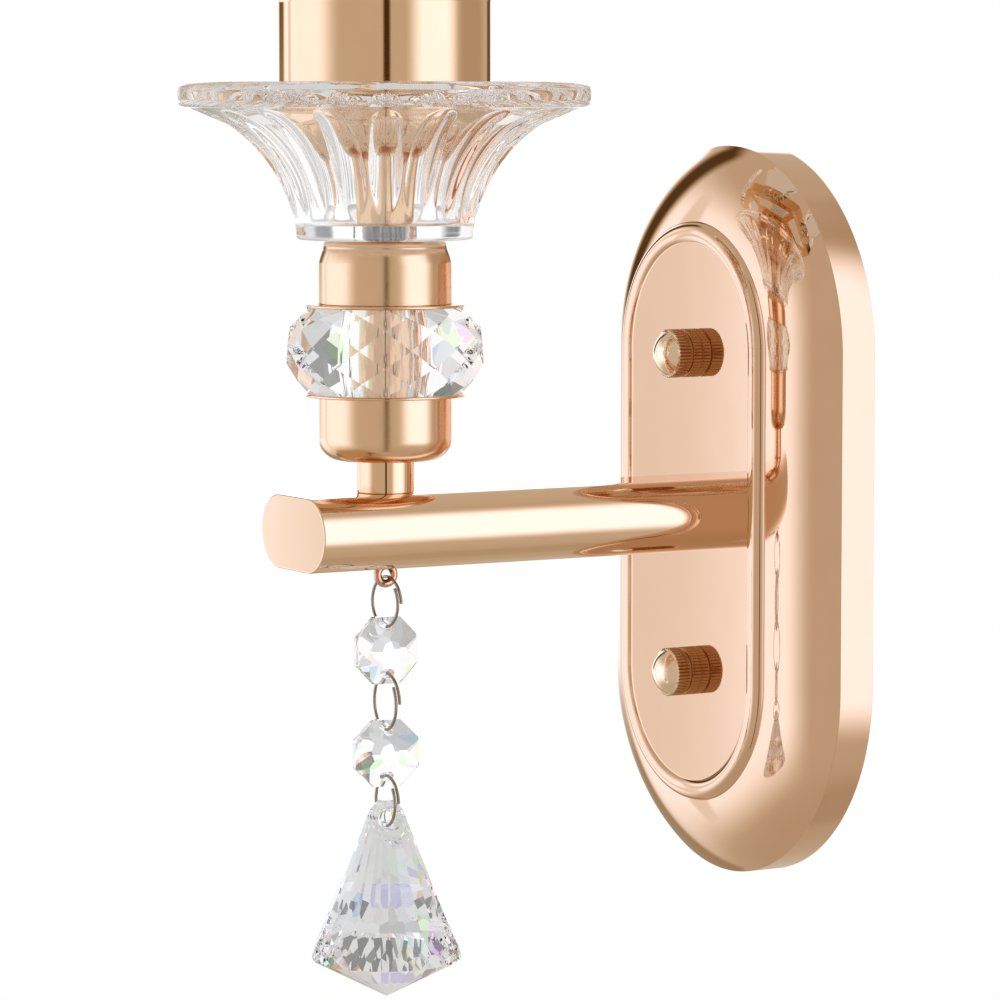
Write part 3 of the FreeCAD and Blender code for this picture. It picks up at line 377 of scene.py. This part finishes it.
def make_piece(name, points, faces, body, slot, node, sharp=35):
    """Smooth-shaded piece that rides on a body and replaces a CAD node."""
    mesh = bpy.data.meshes.new(name)
    mesh.from_pydata(points, [], faces)
    mesh.validate()
    mesh.shade_smooth()
    mesh.set_sharp_from_angle(angle=math.radians(sharp))
    piece = bpy.data.objects.new(name, mesh)
    bpy.context.scene.collection.objects.link(piece)
    mesh.materials.append(MATERIALS[slot])
    weighted = piece.modifiers.new("even_shading", "WEIGHTED_NORMAL")
    weighted.keep_sharp = True
    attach(piece, body)
    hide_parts(node)


def loft(rings, closed=True):
    """Join rings of points, each with the same count, into one skin."""
    count = len(rings[0])
    points = [point for ring in rings for point in ring]
    faces = []
    last = len(rings) if closed else len(rings) - 1
    for row in range(last):
        near, far = row * count, (row + 1) % len(rings) * count
        for k in range(count):
            after = (k + 1) % count
            faces.append((near + k, near + after, far + after, far + k))
    return points, faces


def turned(name, outline, place, body, slot, node, segments=160, shape=None, sharp=35):
    """Revolve an outline of (radius, height) points, reshaped by shape(angle, radius, height)."""
    rings = []
    for radius, height in outline:
        ring = []
        for k in range(segments):
            angle = 2 * math.pi * k / segments
            r, h = shape(angle, radius, height) if shape else (radius, height)
            ring.append(place @ Vector((r * math.cos(angle), r * math.sin(angle), h)))
        rings.append(ring)
    points, faces = loft(rings)
    make_piece(name, points, faces, body, slot, node, sharp)


# ---------------------------------------------------------------- wall plate

PLATE_WALL = 1.2 * MM
PLATE_BAND = 8.8 * MM       # depth of the straight side band
PANEL_R = 24.5 * MM
PANEL_DEPTH = 19.2 * MM
BEAD_R = 29.3 * MM          # where the shoulder meets the bead
BEAD_FOOT = 18.0 * MM       # depth of that place
BEAD_ARC = 2.7 * MM
SHOULDER_ARC = 29.7 * MM
PLATE_EDGE = 0.3 * MM       # small round on the plate's rim and corner


def plate_section(half_w):
    """Front and back halves of the section, as (distance from the middle, depth)."""
    wall, edge = PLATE_WALL, PLATE_EDGE
    back_depth = PANEL_DEPTH - wall
    shoulder = arc_through((half_w, PLATE_BAND), (BEAD_R, BEAD_FOOT), SHOULDER_ARC, 28)
    bead = arc_through((BEAD_R, BEAD_FOOT), (PANEL_R, PANEL_DEPTH), BEAD_ARC, 18)
    inner = arc_through((BEAD_R, BEAD_FOOT - wall), (half_w - wall, PLATE_BAND - wall / 2),
                        wall - SHOULDER_ARC, 16)
    corner = fillet((half_w, 0), (half_w, PLATE_BAND), shoulder[0], edge, 5)
    front = [(half_w - wall + edge, 0), (half_w - edge, 0), (half_w, edge), *corner,
             *shoulder[1:], (BEAD_R, BEAD_FOOT), *bead, (PANEL_R, PANEL_DEPTH)]
    back = [(PANEL_R, back_depth), (BEAD_R, BEAD_FOOT - wall), *inner,
            (half_w - wall, PLATE_BAND - wall / 2), (half_w - wall, edge)]
    return front, back


def make_plate():
    """The pressed shell: one rounded section carried round the straight-sided oval."""
    low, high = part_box("wall_plate")
    half_w = (high.x - low.x) / 2
    straight = (high.z - low.z) / 2 - half_w
    front, back = plate_section(half_w)
    steps = 96

    def ring(distance, depth):
        points = []
        for side, first in ((1, 0.0), (-1, math.pi)):
            for k in range(steps + 1):
                angle = first + math.pi * k / steps
                points.append(Vector((distance * math.cos(angle), -depth,
                                      side * straight + distance * math.sin(angle))))
        return points

    outer = [ring(*point) for point in front]
    inside = [ring(*point) for point in back]
    points, faces = loft(outer + inside, closed=False)
    count = len(outer[0])
    last = len(outer) + len(inside) - 1
    faces += [(last * count + k, last * count + (k + 1) % count, (k + 1) % count, k)
              for k in range(count)]
    # the loft's strip between the front and the back of the panel gives way to two flat faces
    panel_row = len(outer) - 1
    faces = [face for face in faces if face[0] // count != panel_row]
    faces.append(tuple(panel_row * count + k for k in range(count)))
    faces.append(tuple((panel_row + 1) * count + k for k in reversed(range(count))))
    make_piece("plate_shell", points, faces, "fixture", "plate_gold", "wall_plate", sharp=50)


# ---------------------------------------------------------------- cap nuts

NUT_TEETH = 42
NUT_TOOTH = 0.26 * MM       # depth of the knurl
NUT_CREST = 1.35            # above 1 the teeth have flat crests
NUT_BORE = 2.05 * MM
NUT_BORE_PAST = 1.3 * MM    # the bore goes on this far past the barrel
NUT_BARREL = 5.8 * MM
NUT_FOOT = 2.1 * MM         # height of the knurled foot below the groove
NUT_GROOVE_H = 0.7 * MM
NUT_GROOVE_D = 0.5 * MM
NUT_SLOPE_H = 0.35 * MM     # the slope between the barrel and the dome
NUT_SLOPE_IN = 0.55 * MM
ON_AXIS = 1e-6              # a closed end keeps this radius, so that its points stay apart


def nut_outline(radius, height):
    """Half section of a cap nut, from the foot up."""
    foot_edge, lip, groove_corner = 0.15 * MM, 0.12 * MM, 0.08 * MM
    groove_r, groove_top = radius - NUT_GROOVE_D, NUT_FOOT + NUT_GROOVE_H
    side = 0.2 * MM
    slope_steps = 8
    slope = [(radius - NUT_SLOPE_IN * k / slope_steps, NUT_BARREL + NUT_SLOPE_H * k / slope_steps)
             for k in range(slope_steps)]
    dome_r, dome_low = radius - NUT_SLOPE_IN, NUT_BARREL + NUT_SLOPE_H
    rise = height - dome_low
    ball = (dome_r ** 2 + rise ** 2) / (2 * rise)
    dome = arc_through((dome_r, dome_low), (ON_AXIS, height), ball, 20)
    bore_end = NUT_BARREL + NUT_BORE_PAST
    return rounded([
        (NUT_BORE, 0), (radius, 0, foot_edge), (radius, NUT_FOOT, lip),
        (groove_r, NUT_FOOT + side, groove_corner), (groove_r, groove_top - side, groove_corner),
        (radius, groove_top, lip), *slope, (dome_r, dome_low), *dome,
        (ON_AXIS, height), (ON_AXIS, bore_end), (NUT_BORE, bore_end)])


def make_cap_nuts():
    """Knurled barrel, a groove near the foot and a polished dome."""
    radius = radius_of("cap_nut_upper")
    low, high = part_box("cap_nut_upper")
    outline = nut_outline(radius, high.y - low.y)

    def knurl(angle, r, h):
        wave = abs((NUT_TEETH * angle / math.pi) % 2 - 1)
        return min(r, radius - NUT_TOOTH * (1 - min(1.0, NUT_CREST * wave))), h

    for side in ("upper", "lower"):
        node = f"cap_nut_{side}"
        at = Matrix.Translation((0, high.y, middle(node).z))
        out_of_wall = Matrix.Rotation(math.pi / 2, 4, "X")
        turned(f"knurled_nut_{side}", outline, at @ out_of_wall, node, "nut_gold", node,
               segments=NUT_TEETH * 8, shape=knurl, sharp=40)


# ---------------------------------------------------------------- head stack

ROD_R = 4.9 * MM            # bore of all that sits on the centre rod
CUP_WALL = 1.0 * MM
CUP_ROUND = 5.2 * MM
SHEET_EDGE = 0.2 * MM       # round of a cup's cut edge
GLASS_GAP = 0.03 * MM       # air between glass and the metal that it sits on


def turned_on_head(name, outline, slot, node, **settings):
    """A turned piece of the fixture on the head's upright axis."""
    place = Matrix.Translation((HEAD.x, HEAD.y, 0))
    turned(name, outline, place, "fixture", slot, node, **settings)


def make_stem():
    low, high = bottom("stem"), top("stem")
    radius = radius_of("stem")
    edge = 0.25 * MM
    outline = rounded([(ROD_R, low), (radius, low, edge), (radius, high, edge), (ROD_R, high)])
    turned_on_head("stem_tube", outline, "head_gold", "stem")


def make_lower_cup():
    low, high = bottom("lower_cup"), top("lower_cup")
    radius = radius_of("lower_cup")
    inner = radius - CUP_WALL
    outline = rounded([
        (ROD_R, low), (radius, low, CUP_ROUND), (radius, high, SHEET_EDGE),
        (inner, high, SHEET_EDGE), (inner, low + CUP_WALL, CUP_ROUND - CUP_WALL),
        (ROD_R, low + CUP_WALL)], steps=24)
    turned_on_head("lower_cup_shell", outline, "cup_gold", "lower_cup")


def make_upper_cup():
    """Cup turned over: straight wall, swept crown and a small flat top."""
    low, high = bottom("upper_cup"), top("upper_cup")
    radius = radius_of("upper_cup")
    inner = radius - CUP_WALL
    knee = high - 5.0 * MM
    sweep_arc = 16.0 * MM
    crown_r, crown_round = 13.8 * MM, 1.8 * MM
    crown_low = high - crown_round
    flat_r = 12.2 * MM
    sweep = arc_through((radius, knee), (crown_r, crown_low), sweep_arc, 12)
    crown = arc_through((crown_r, crown_low), (flat_r, high), crown_round, 10)
    outline = rounded([
        (radius, knee), *sweep, (crown_r, crown_low), *crown, (flat_r, high), (ROD_R, high),
        (ROD_R, high - CUP_WALL), (flat_r, high - CUP_WALL), (inner, knee),
        (inner, low, SHEET_EDGE), (radius, low, SHEET_EDGE)])
    turned_on_head("upper_cup_shell", outline, "cup_gold", "upper_cup")


def make_washers():
    """Thin discs between the bead and the cups, with a softened edge."""
    for node, under, over in (("lower_washer", 0, GLASS_GAP), ("upper_washer", GLASS_GAP, 0)):
        low, high = bottom(node) + under, top(node) - over
        sleeve, radius, edge = radius_of("crystal_sleeve"), radius_of(node), 0.3 * MM
        outline = rounded([
            (sleeve, low), (radius, low, edge), (radius, high, edge), (sleeve, high)], steps=5)
        turned_on_head(f"{node}_disc", outline, "cup_gold", node)


def make_lamp_cup():
    """Deep cup with a rounded bottom and a small flare to its lip."""
    low, high = bottom("lamp_cup"), top("lamp_cup")
    radius, lip_r = 23.5 * MM, radius_of("lamp_cup")
    inner, lip_inner = radius - CUP_WALL, lip_r - CUP_WALL
    flare = high - 3.0 * MM
    round_r, bend, edge = 13.5 * MM, 1.5 * MM, 0.25 * MM
    outline = rounded([
        (ROD_R, low), (radius, low, round_r), (radius, flare, bend), (lip_r, high, edge),
        (lip_inner, high, edge), (inner, flare, bend),
        (inner, low + CUP_WALL, round_r - CUP_WALL), (ROD_R, low + CUP_WALL)], steps=14)
    turned_on_head("lamp_cup_shell", outline, "head_gold", "lamp_cup", segments=220)


# ---------------------------------------------------------------- glass dish

FLUTES = 20
DISH_TURN = math.radians(7.9)       # turns a flute towards the camera
BELL_CENTRE = Vector((52.1, 60.8)) * MM
BELL_R = 32.7 * MM
DISH_WALL = 4.0 * MM
FOOT_R = 19.7 * MM
FOOT_H = 2.2 * MM
RIM_H = 5.4 * MM
RIM_LAND = 3.4 * MM         # width of the rim's flat top, with its rounds
NECK_DROP = 3.7 * MM        # the bell's outer curve ends this far under the rim
NECK_IN = 1.8 * MM          # the rim's straight underside ends this far inside its edge
MOUTH_DROP = 1.6 * MM       # the bell's inner curve ends this far under the rim's top
FLUTE_CENTRE = Vector((43.35, 68.7)) * MM
FLUTE_R = 20.1 * MM         # circle followed by the middle of the flute's ellipse
FLUTE_HALF_D = 3.0 * MM
FLUTE_HALF_W = 3.7 * MM
FLUTE_SOFT = 0.16 * MM      # how softly a flute's edge runs out


def sink_flute(angle, radius, height):
    """Push a point of the dish out of the flute nearest to it, away from the flute's centre."""
    pitch = 2 * math.pi / FLUTES
    from_flute = (angle - DISH_TURN + pitch / 2) % pitch - pitch / 2
    across = radius * math.sin(from_flute)
    if abs(across) >= FLUTE_HALF_W:
        return radius, height
    reach = FLUTE_R + FLUTE_HALF_D * math.sqrt(1 - (across / FLUTE_HALF_W) ** 2)
    spoke = Vector((radius * math.cos(from_flute), height)) - FLUTE_CENTRE
    depth = reach - spoke.length
    softened = (depth + math.hypot(depth, FLUTE_SOFT)) / 2
    if softened < FLUTE_SOFT / 20:
        return radius, height
    moved = FLUTE_CENTRE + spoke * ((spoke.length + softened) / spoke.length)
    return math.hypot(moved.x, across), moved.y


def bell_point(arc, height):
    """Point of the bell's curve at a height, for the outer or the inner arc."""
    return BELL_CENTRE.x - math.sqrt(arc ** 2 - (height - BELL_CENTRE.y) ** 2), height


def dish_outline():
    """Half section: foot, bell, underside of the rim, rim, and the bell's inside."""
    foot_edge, foot_step, floor_corner = 1.2 * MM, 0.3 * MM, 1.2 * MM
    rim_under, rim_over, rim_inside = 1.7 * MM, 1.6 * MM, 1.4 * MM
    base, rim_top = bottom("glass_dish") + GLASS_GAP, top("glass_dish")
    floor = bottom("neck_tube") - GLASS_GAP
    bore_r, rim_r = ROD_R + GLASS_GAP, radius_of("glass_dish")
    inner_r = BELL_R + DISH_WALL
    rim_low = rim_top - RIM_H
    foot, neck = bell_point(BELL_R, base + FOOT_H), bell_point(BELL_R, rim_low - NECK_DROP)
    mouth, inner_foot = bell_point(inner_r, rim_top - MOUTH_DROP), bell_point(inner_r, floor)
    # the flutes run into the rim's straight underside, so it has points for them to move
    steps = 30
    underside = [tuple(Vector(neck).lerp(Vector((rim_r - NECK_IN, rim_low)), k / steps))
                 for k in range(steps)]
    return rounded([
        (bore_r, base), (FOOT_R, base, foot_edge), (FOOT_R, foot[1] - foot_step, foot_step),
        foot, *arc_through(foot, neck, -BELL_R, 100), *underside,
        (rim_r, rim_low, rim_under), (rim_r, rim_top, rim_over),
        (rim_r - RIM_LAND, rim_top, rim_inside),
        mouth, *arc_through(mouth, inner_foot, inner_r, 60), (*inner_foot, floor_corner),
        (bore_r, floor)], steps=10)


def make_dish():
    """Fluted dish, with enough points round it for each flute's soft edges."""
    turned_on_head("fluted_dish", dish_outline(), "dish_glass", "glass_dish",
                   segments=FLUTES * 30, shape=sink_flute, sharp=60)


# ---------------------------------------------------------------- carried-over CAD nodes

def dress_cad_nodes():
    """Give every kept CAD node the material of its slot."""
    slots = {part["node"]: part["material_slot"] for part in frame["record"]["subparts"]}
    for node, solid in frame["nodes"].items():
        solid.data.materials.clear()
        solid.data.materials.append(MATERIALS[slots[node]])


ARRIS = 0.07 * MM
ARRIS_ANGLE = math.radians(4)       # facets that meet at less than this have no arris


def soften_crystals():
    """Take the knife edge off the cut stones, so that each arris catches a thin light line."""
    for node in ("crystal_bead", "octagon_1", "octagon_2", "prism"):
        bevel = frame["nodes"][node].modifiers.new("arris", "BEVEL")
        bevel.width = ARRIS
        bevel.segments = 1
        bevel.limit_method = "ANGLE"
        bevel.angle_limit = ARRIS_ANGLE


# ---------------------------------------------------------------- studio

FLOOR_Z = -0.90
FLOOR_R = 2.0
PLAIN_LEVEL = 0.62          # the world's light on matt surfaces
STUDIO_LEVEL = 0.63         # the room between the screens

# Soft screens and dark flags round the object, in degrees: azimuth from the camera and half
# width, height above the horizon and half height, width of the soft edge, and brightness.
SCREENS = (
    ("ceiling", (0, 180), (75, 35), 25, 0.62),
    ("ground", (0, 180), (-75, 30), 30, 0.56),
    ("back_wall", (180, 26), (8, 16), 6, 1.50),
    ("left_screen", (-107, 45), (-4, 26), 30, 1.34),
    ("left_frame", (-121.5, 3.0), (-4, 26), 2, 0.98),
    ("right_screen", (56, 24), (12, 34), 22, 1.44),
    ("right_shade", (108, 20), (-5, 60), 18, 0.50),
    ("left_flag", (-143, 8), (20, 22), 9, 0.10),
    ("right_flag", (149, 7), (2, 11), 6, 0.16),
    ("low_flag", (-168, 16), (-28, 16), 8, 0.40),
    ("camera_slit", (2.5, 3.5), (0, 60), 3, 0.06),
)
WARMTH = (1.0, 1.25, 1.7)   # powers of red, green and blue: dark reflections turn warm
FLAG_LEVEL = 0.1            # a flag this dark or darker is seen through glass
GLASS_DARK = 0.22           # as this share of the white that is seen through it
GLASS_LEVEL = 1.05          # strength of that white


def patch(nodes, angle, middle_at, half, edge):
    """One over the patch's span of an angle and nought beyond it, with a smooth edge."""
    away = nodes.add("ShaderNodeMath", {0: angle, 1: middle_at}, operation="SUBTRACT")
    wrapped = nodes.add("ShaderNodeMath", {0: away.outputs["Value"], 1: 180.0, 2: -180.0},
                        operation="WRAP")
    distance = nodes.add("ShaderNodeMath", {0: wrapped.outputs["Value"]}, operation="ABSOLUTE")
    share = nodes.add("ShaderNodeMapRange", {
        "Value": distance.outputs["Value"], "From Min": half + edge / 2,
        "From Max": half - edge / 2}, interpolation_type="SMOOTHSTEP")
    return share.outputs["Result"]


def studio_light(nodes):
    """Brightness of the studio in the direction that a ray leaves."""
    direction = nodes.add("ShaderNodeTexCoord").outputs["Generated"]
    to_camera = math.atan2(CAMERA_AT.y - HEAD.y, CAMERA_AT.x - HEAD.x)
    turned_to_camera = nodes.add("ShaderNodeVectorRotate", {
        "Vector": direction, "Angle": -to_camera}, rotation_type="Z_AXIS")
    split = nodes.add("ShaderNodeSeparateXYZ", {"Vector": turned_to_camera.outputs["Vector"]})
    round_it = nodes.add("ShaderNodeMath", {0: split.outputs["Y"], 1: split.outputs["X"]},
                         operation="ARCTAN2")
    above = nodes.add("ShaderNodeMath", {0: split.outputs["Z"]}, operation="ARCSINE")
    azimuth = nodes.add("ShaderNodeMath", {0: round_it.outputs["Value"]}, operation="DEGREES")
    height = nodes.add("ShaderNodeMath", {0: above.outputs["Value"]}, operation="DEGREES")
    light = STUDIO_LEVEL
    for name, (turn, half_w), (rise, half_h), edge, brightness in SCREENS:
        across = patch(nodes, azimuth.outputs["Value"], turn, half_w, edge)
        upright = patch(nodes, height.outputs["Value"], rise, half_h, edge)
        share = nodes.add("ShaderNodeMath", {0: across, 1: upright}, operation="MULTIPLY")
        mixed = nodes.add("ShaderNodeMix", {
            "Factor": share.outputs["Value"], NUMBER_A: light, NUMBER_B: brightness}, label=name)
        light = mixed.outputs[NUMBER_RESULT]
    return light


def make_world():
    """White to the camera, a plain level on matt surfaces, screens and flags in reflections."""
    world = bpy.data.worlds.new("studio")
    bpy.context.scene.world = world
    world.use_nodes = True
    nodes = Nodes(world.node_tree)
    screens = studio_light(nodes)
    through = nodes.add("ShaderNodeMapRange", {
        "Value": screens, "From Min": FLAG_LEVEL, "From Max": 1.0, "To Min": GLASS_DARK})
    reflected = nodes.add("ShaderNodeCombineColor", {
        channel: nodes.add("ShaderNodeMath", {0: screens, 1: power}, operation="POWER").outputs[0]
        for channel, power in zip(("Red", "Green", "Blue"), WARMTH)})
    rays = nodes.add("ShaderNodeLightPath").outputs
    light = nodes.add("ShaderNodeBackground", {
        "Color": reflected.outputs["Color"], "Strength": 1.0}).outputs[0]
    for kind, colour, strength in (
            ("Is Diffuse Ray", (1, 1, 1, 1), PLAIN_LEVEL),
            ("Is Transmission Ray", through.outputs["Result"], GLASS_LEVEL),
            ("Is Camera Ray", (1, 1, 1, 1), 1.0)):
        other = nodes.add("ShaderNodeBackground", {"Color": colour, "Strength": strength})
        light = nodes.add("ShaderNodeMixShader", {
            0: rays[kind], 1: light, 2: other.outputs[0]}).outputs[0]
    nodes.add("ShaderNodeOutputWorld", {"Surface": light})


def make_floor():
    """Pale round floor, clear from below, so that the sconce can be looked at from there."""
    corners = 96
    points = [(HEAD.x + FLOOR_R * math.cos(2 * math.pi * k / corners),
               HEAD.y + FLOOR_R * math.sin(2 * math.pi * k / corners), FLOOR_Z)
              for k in range(corners)]
    mesh = bpy.data.meshes.new("floor")
    mesh.from_pydata(points, [], [tuple(range(corners))])
    floor = bpy.data.objects.new("floor", mesh)
    bpy.context.scene.collection.objects.link(floor)
    nodes = material("floor_pale")
    mottle = nodes.noise(scale=3, detail=3)
    underside = nodes.add("ShaderNodeNewGeometry").outputs["Backfacing"]
    solid = nodes.add("ShaderNodeMath", {0: 1.0, 1: underside}, operation="SUBTRACT")
    nodes.surface({"Base Color": nodes.tints(mottle, (0.93, 0.93, 0.93), (0.91, 0.91, 0.91)),
                   "Roughness": nodes.between(mottle, 0.7, 0.8),
                   "Alpha": solid.outputs["Value"]})
    mesh.materials.append(MATERIALS["floor_pale"])
    floor.visible_glossy = False
    floor.visible_transmission = False


# name, place, side length in metres, power in watts
LAMPS = (
    ("key_lamp", (-0.55, -1.55, 1.25), 1.3, 9.0),
    ("side_lamp", (1.70, -0.20, 0.90), 1.1, 5.0),
)


def make_lamps():
    for name, place, side, power in LAMPS:
        data = bpy.data.lights.new(name, "AREA")
        data.size = side
        data.energy = power
        lamp = bpy.data.objects.new(name, data)
        bpy.context.scene.collection.objects.link(lamp)
        lamp.visible_glossy = False
        lamp.visible_transmission = False
        lamp.location = place
        lamp.rotation_euler = (HEAD - Vector(place)).to_track_quat("-Z", "Y").to_euler()


def follow_light_through_glass():
    """Light goes round inside cut glass many times before it comes out."""
    cycles = bpy.context.scene.cycles
    cycles.max_bounces = 24
    cycles.transmission_bounces = 24
    cycles.glossy_bounces = 20


# ---------------------------------------------------------------- the scene

make_camera()
make_golds()
make_steels()
make_plastics()
make_glasses()
dress_cad_nodes()
soften_crystals()
make_plate()
make_cap_nuts()
make_stem()
make_lower_cup()
make_upper_cup()
make_washers()
make_lamp_cup()
make_dish()
make_world()
make_floor()
make_lamps()
follow_light_through_glass()
bpy.context.scene.view_settings.view_transform = "Standard"
